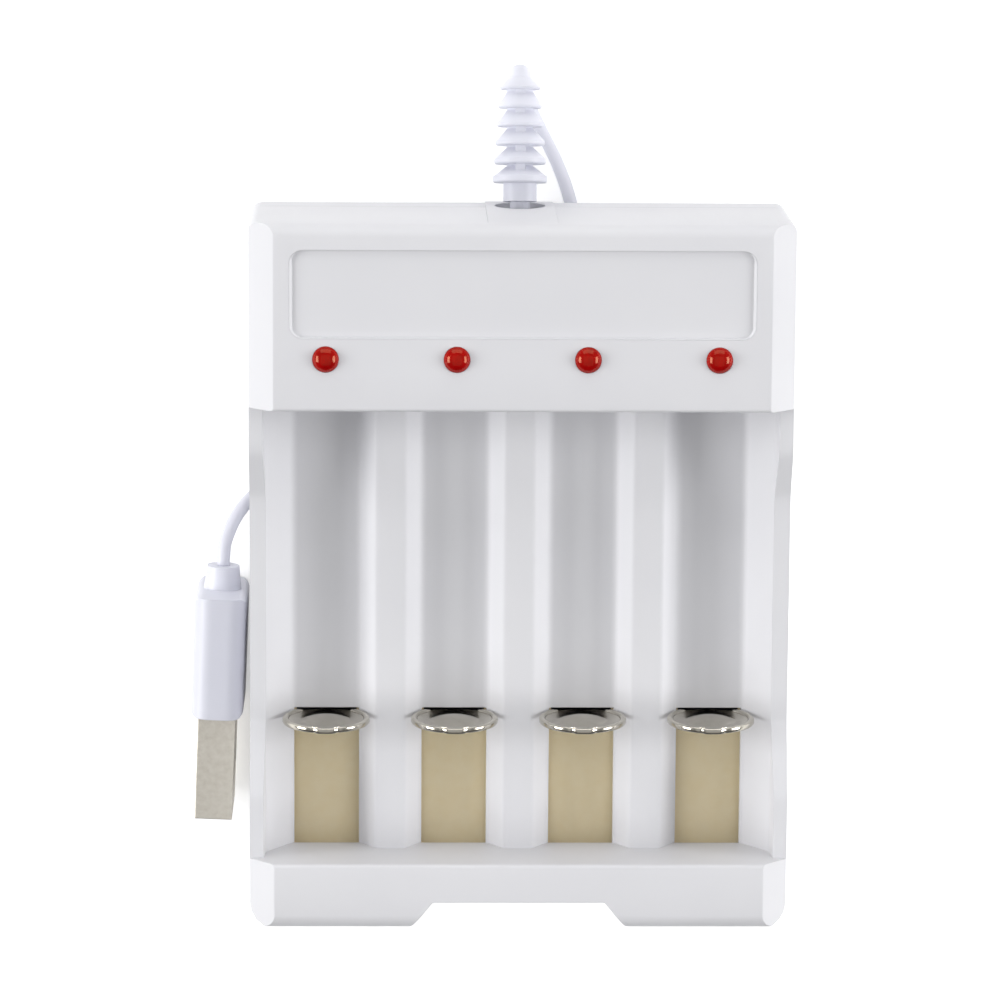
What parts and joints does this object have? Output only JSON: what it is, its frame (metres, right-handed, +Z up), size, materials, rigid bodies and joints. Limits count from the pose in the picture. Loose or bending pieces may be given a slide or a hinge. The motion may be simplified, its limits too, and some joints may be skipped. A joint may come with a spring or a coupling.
{
  "type": "aa battery charger",
  "caption": "White battery charger lying flat, with side-by-side cell bays, sprung sliding contacts, red lamps and a short fixed lead to a small plug.",
  "frame": {"origin": "on the table, under the middle of the housing", "axes": "+Z up, out of the bays; +Y towards the strain relief; +X to the right seen from above"},
  "size_m": [0.0713, 0.1011, 0.0279],
  "materials": {
    "white_abs": "satin",
    "white_pvc": "satin",
    "board_laminate": "satin",
    "chip_epoxy": "matte",
    "red_lamp": "gloss",
    "contact_nickel": "polished",
    "plug_nickel": "satin",
    "plug_insulator": "matte",
    "gold_plate": "polished",
    "tinned_wire": "satin",
    "spring_steel": "satin",
    "zinc_steel": "satin",
    "grey_rubber": "matte"
  },
  "bodies": {
    "charger": {"front_shell": "white_abs", "rear_cover": "white_abs", "circuit_board": "board_laminate", "charge_controller": "chip_epoxy", "supply_wires": "white_pvc", "lamp_leads": "tinned_wire", "cover_screws": "zinc_steel", "strain_relief": "white_pvc", "cord": "white_pvc", "plug_moulding": "white_pvc", "plug_shell": "plug_nickel", "plug_tongue": "plug_insulator", "plug_contacts": "gold_plate", "lamp_1": "red_lamp", "lamp_2": "red_lamp", "lamp_3": "red_lamp", "lamp_4": "red_lamp", "fixed_contact_1": "contact_nickel", "fixed_contact_2": "contact_nickel", "fixed_contact_3": "contact_nickel", "fixed_contact_4": "contact_nickel", "return_spring_1": "spring_steel", "return_spring_2": "spring_steel", "return_spring_3": "spring_steel", "return_spring_4": "spring_steel", "foot_1": "grey_rubber", "foot_2": "grey_rubber", "foot_3": "grey_rubber", "foot_4": "grey_rubber"},
    "slider_1": {"sliding_contact_1": "contact_nickel"},
    "slider_2": {"sliding_contact_2": "contact_nickel"},
    "slider_3": {"sliding_contact_3": "contact_nickel"},
    "slider_4": {"sliding_contact_4": "contact_nickel"}
  },
  "joints": [
    {"name": "contact_slide_1", "type": "slide", "parent": "charger", "child": "slider_1", "axis": [0, -1, 0], "range_m": [0, 0.0142], "stiffness_N_per_m": 60, "springref_m": -0.012, "deforming": ["return_spring_1"]},
    {"name": "contact_slide_2", "type": "slide", "parent": "charger", "child": "slider_2", "axis": [0, -1, 0], "range_m": [0, 0.0142], "stiffness_N_per_m": 60, "springref_m": -0.012, "deforming": ["return_spring_2"]},
    {"name": "contact_slide_3", "type": "slide", "parent": "charger", "child": "slider_3", "axis": [0, -1, 0], "range_m": [0, 0.0142], "stiffness_N_per_m": 60, "springref_m": -0.012, "deforming": ["return_spring_3"]},
    {"name": "contact_slide_4", "type": "slide", "parent": "charger", "child": "slider_4", "axis": [0, -1, 0], "range_m": [0, 0.0142], "stiffness_N_per_m": 60, "springref_m": -0.012, "deforming": ["return_spring_4"]}
  ]
}
